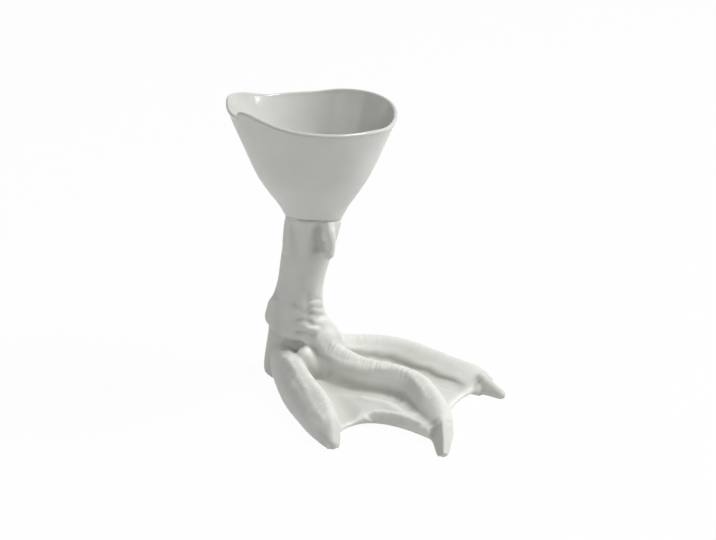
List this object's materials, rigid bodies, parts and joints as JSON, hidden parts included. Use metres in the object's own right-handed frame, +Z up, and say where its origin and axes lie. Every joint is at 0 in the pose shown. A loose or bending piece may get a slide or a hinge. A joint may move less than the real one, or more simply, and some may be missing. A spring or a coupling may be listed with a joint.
{
  "type": "egg cup",
  "caption": "Porcelain egg cup: a flaring cup with a wavy, glazed rim on a webbed bird's foot and leg in unglazed biscuit.",
  "frame": {"origin": "on the plane of the sole, under the axis of the cup", "axes": "+Z up along the cup's axis, -Y the way the toes point, +X towards the outer toe"},
  "size_m": [0.0778, 0.1017, 0.1108],
  "materials": {
    "biscuit": "unglazed, satin",
    "glaze": "gloss",
    "slip": "matt"
  },
  "bodies": {
    "root": {"cup": "biscuit", "glaze_lining": "glaze", "slip_joint": "slip", "webbed_foot": "biscuit"}
  },
  "joints": []
}
